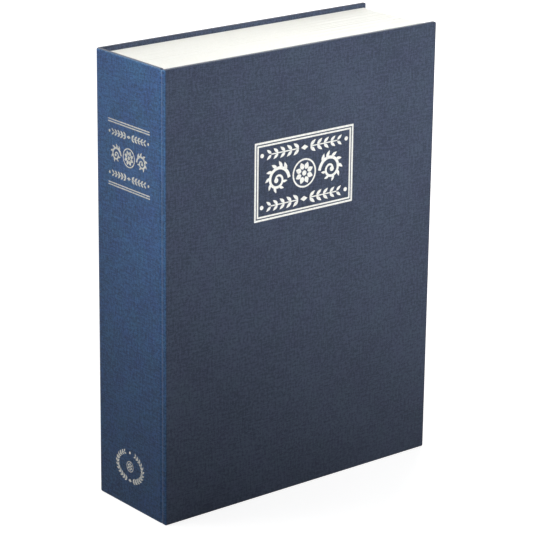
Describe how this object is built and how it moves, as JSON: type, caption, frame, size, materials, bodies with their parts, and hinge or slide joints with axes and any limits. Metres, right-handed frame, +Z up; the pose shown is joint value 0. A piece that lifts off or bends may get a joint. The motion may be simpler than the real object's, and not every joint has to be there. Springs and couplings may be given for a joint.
{
  "type": "book diversion safe",
  "caption": "Hardback book whose page block hides a steel box; cover and hinged lid open, and a three-wheel combination lock holds the lid.",
  "frame": {"origin": "middle of the standing book's footprint, on the plane it stands on", "axes": "+Z up the spine, +X from spine to fore-edge, -Y out of the front cover"},
  "size_m": [0.196, 0.065, 0.265],
  "materials": {
    "book_cloth": "woven book cloth, blue grey",
    "grey_board": "grey binder's board",
    "endpaper": "matt paper",
    "page_plastic": "moulded, ribbed like page edges",
    "black_enamel": "black powder coat",
    "zinc_plate": "bright zinc plated steel",
    "satin_chrome": "satin chrome on die-cast zinc",
    "wheel_plastic": "black acetal with white digits",
    "spring_steel": "spring temper strip"
  },
  "bodies": {
    "case": {"spine_board": "grey_board", "back_board": "grey_board", "case_cloth": "book_cloth", "joint_cloth": "book_cloth", "page_block": "page_plastic", "safe_box": "black_enamel", "box_hinge_leaf": "zinc_plate", "hinge_pin": "zinc_plate", "strike_bracket": "zinc_plate", "strike_rivet_1": "zinc_plate", "strike_rivet_2": "zinc_plate", "box_hinge_rivet_1": "zinc_plate", "box_hinge_rivet_2": "zinc_plate", "box_hinge_rivet_3": "zinc_plate", "box_hinge_rivet_4": "zinc_plate"},
    "cover": {"front_board": "grey_board", "front_cloth": "book_cloth", "front_endpaper": "endpaper"},
    "lid": {"safe_lid": "black_enamel", "lid_hinge_leaf": "zinc_plate", "lock_housing": "satin_chrome", "lock_backplate": "zinc_plate", "wheel_axle": "zinc_plate", "detent_spring": "spring_steel", "backplate_screw_1": "zinc_plate", "backplate_screw_2": "zinc_plate", "lock_screw_1": "zinc_plate", "lock_screw_2": "zinc_plate", "lid_hinge_rivet_1": "zinc_plate", "lid_hinge_rivet_2": "zinc_plate", "lid_hinge_rivet_3": "zinc_plate", "lid_hinge_rivet_4": "zinc_plate"},
    "wheel_1": {"number_wheel_1": "wheel_plastic", "gate_sleeve_1": "zinc_plate"},
    "wheel_2": {"number_wheel_2": "wheel_plastic", "gate_sleeve_2": "zinc_plate"},
    "wheel_3": {"number_wheel_3": "wheel_plastic", "gate_sleeve_3": "zinc_plate"},
    "latch": {"latch_bolt": "zinc_plate", "thumb_slide": "satin_chrome", "slide_screw": "zinc_plate"}
  },
  "joints": [
    {"name": "cover_hinge", "type": "hinge", "parent": "case", "child": "cover", "pos_m": [-0.09815, -0.0288, 0.1325], "axis": [0, 0, -1], "range_deg": [0, 180]},
    {"name": "lid_hinge", "type": "hinge", "parent": "case", "child": "lid", "pos_m": [-0.083, -0.0254, 0.1325], "axis": [0, 0, -1], "range_deg": [0, 108]},
    {"name": "wheel_1_spin", "type": "hinge", "parent": "lid", "child": "wheel_1", "pos_m": [0.0619, -0.0211, 0.1176], "axis": [0, 0, 1], "continuous": true},
    {"name": "wheel_2_spin", "type": "hinge", "parent": "lid", "child": "wheel_2", "pos_m": [0.0619, -0.0211, 0.1246], "axis": [0, 0, 1], "continuous": true},
    {"name": "wheel_3_spin", "type": "hinge", "parent": "lid", "child": "wheel_3", "pos_m": [0.0619, -0.0211, 0.1316], "axis": [0, 0, 1], "continuous": true},
    {"name": "latch_slide", "type": "slide", "parent": "lid", "child": "latch", "axis": [1, 0, 0], "range_m": [0, 0.00557]}
  ],
  "couplings": [
    {"joint": "lid_hinge", "follows": "cover_hinge", "ratio": 0.6}
  ]
}
